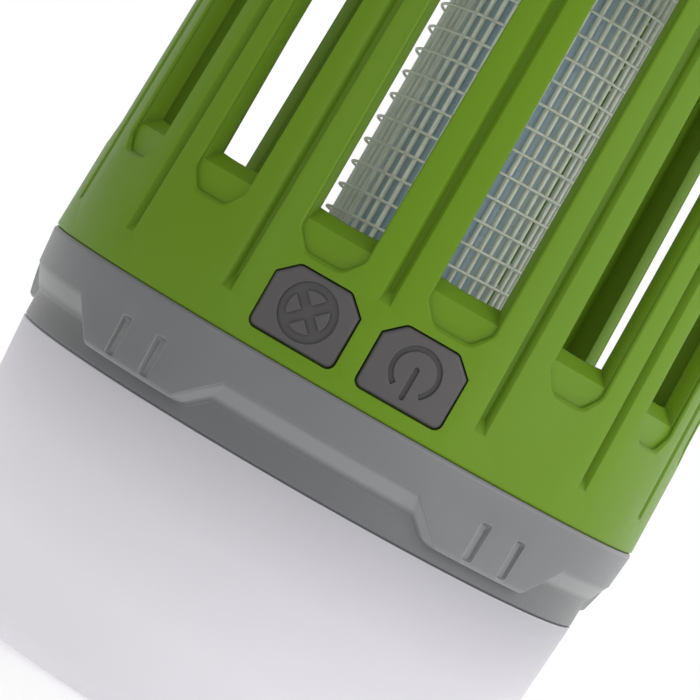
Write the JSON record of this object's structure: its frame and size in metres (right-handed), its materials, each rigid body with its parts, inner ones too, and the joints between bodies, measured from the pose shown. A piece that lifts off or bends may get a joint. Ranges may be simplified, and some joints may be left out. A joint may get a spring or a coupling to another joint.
{
  "type": "electric bug zapper lantern",
  "caption": "Rechargeable bug zapper lantern: slotted cage over a high-voltage wire grid and UV tube, with a frosted lamp below and a folding hook.",
  "frame": {"origin": "centre of the lamp's flat underside, on the object's main axis", "axes": "+Z from the lamp up through the cage to the hook, -Y towards the two buttons, +Y towards the charging port"},
  "size_m": [0.0884, 0.0888, 0.136],
  "materials": {
    "green_shell": "fine satin moulded ABS, green",
    "grey_shell": "fine satin moulded ABS, mid grey",
    "grey_button": "satin moulded, slightly warm grey, engraved icon",
    "frosted_lamp": "frosted translucent white polycarbonate",
    "white_reflector": "white reflective sheet",
    "insulator": "pale moulded insulating plastic",
    "grid_wire": "galvanised steel wire",
    "helix_wire": "bright galvanised steel wire",
    "tube": "blue-tinted acrylic tube",
    "rubber_seal": "soft black silicone",
    "port_rubber": "soft grey rubber, moulded",
    "steel_screw": "zinc-plated steel, cross recess",
    "hook_steel": "polished bent steel rod",
    "inner_plastic": "dark moulded ABS",
    "circuit_board": "green solder mask",
    "white_board": "white solder mask",
    "led": "yellow phosphor in a white package",
    "uv_led": "clear window on a white package",
    "cell_wrap": "blue shrink sleeve",
    "nickel": "nickel strip",
    "ferrite": "grey sintered ferrite",
    "coil_tape": "yellow polyester tape over the winding",
    "capacitor": "dipped red-brown film capacitor",
    "chip": "black moulded package",
    "switch_body": "black moulded switch body",
    "switch_key": "moulded switch actuator",
    "socket_steel": "stamped plated shell",
    "wire_red": "red insulated wire",
    "wire_white": "white insulated wire"
  },
  "bodies": {
    "lantern": {"cage_housing": "green_shell", "top_cap": "grey_shell", "collar_ring": "grey_shell", "lamp_diffuser": "frosted_lamp", "collar_gasket": "rubber_seal", "diffuser_gasket": "rubber_seal", "button_seals": "rubber_seal", "reflector_plate": "white_reflector", "lamp_led_board": "white_board", "lamp_leds": "led", "reflector_screws": "steel_screw", "collar_screws": "steel_screw", "switch_screws": "steel_screw", "board_screws": "steel_screw", "charge_screws": "steel_screw", "cap_screws": "steel_screw", "button_guide": "inner_plastic", "inner_chassis": "inner_plastic", "tact_switches": "switch_body", "switch_board": "circuit_board", "charge_board": "circuit_board", "main_board": "circuit_board", "charge_socket": "socket_steel", "battery_cell": "cell_wrap", "battery_tabs": "nickel", "transformer_core": "ferrite", "transformer_coil": "coil_tape", "capacitors": "capacitor", "board_chips": "chip", "grid_base": "insulator", "grid_crown": "insulator", "inner_electrode": "grid_wire", "outer_electrode": "helix_wire", "uv_tube": "tube", "uv_board": "white_board", "uv_leds": "uv_led", "hook_pin": "steel_screw", "battery_leads": "wire_red", "lamp_leads": "wire_white", "grid_leads": "wire_red", "uv_leads": "wire_white"},
    "zap_key": {"zap_button": "grey_button", "zap_plunger": "switch_key"},
    "lamp_key": {"lamp_button": "grey_button", "lamp_plunger": "switch_key"},
    "hook": {"hook": "hook_steel"},
    "port_flap": {"port_cover": "port_rubber"}
  },
  "joints": [
    {"name": "zap_button_press", "type": "slide", "parent": "lantern", "child": "zap_key", "axis": [0, 1, 0], "range_m": [0, 0.0005], "stiffness_N_per_m": 200},
    {"name": "lamp_button_press", "type": "slide", "parent": "lantern", "child": "lamp_key", "axis": [0, 1, 0], "range_m": [0, 0.0005], "stiffness_N_per_m": 200},
    {"name": "hook_fold", "type": "hinge", "parent": "lantern", "child": "hook", "pos_m": [0, 0, 0.1325], "axis": [-1, 0, 0], "range_deg": [0, 95]},
    {"name": "port_cover_flap", "type": "hinge", "parent": "lantern", "child": "port_flap", "pos_m": [0, 0.04313, 0.05125], "axis": [-1, 0, 0], "range_deg": [0, 100]}
  ]
}
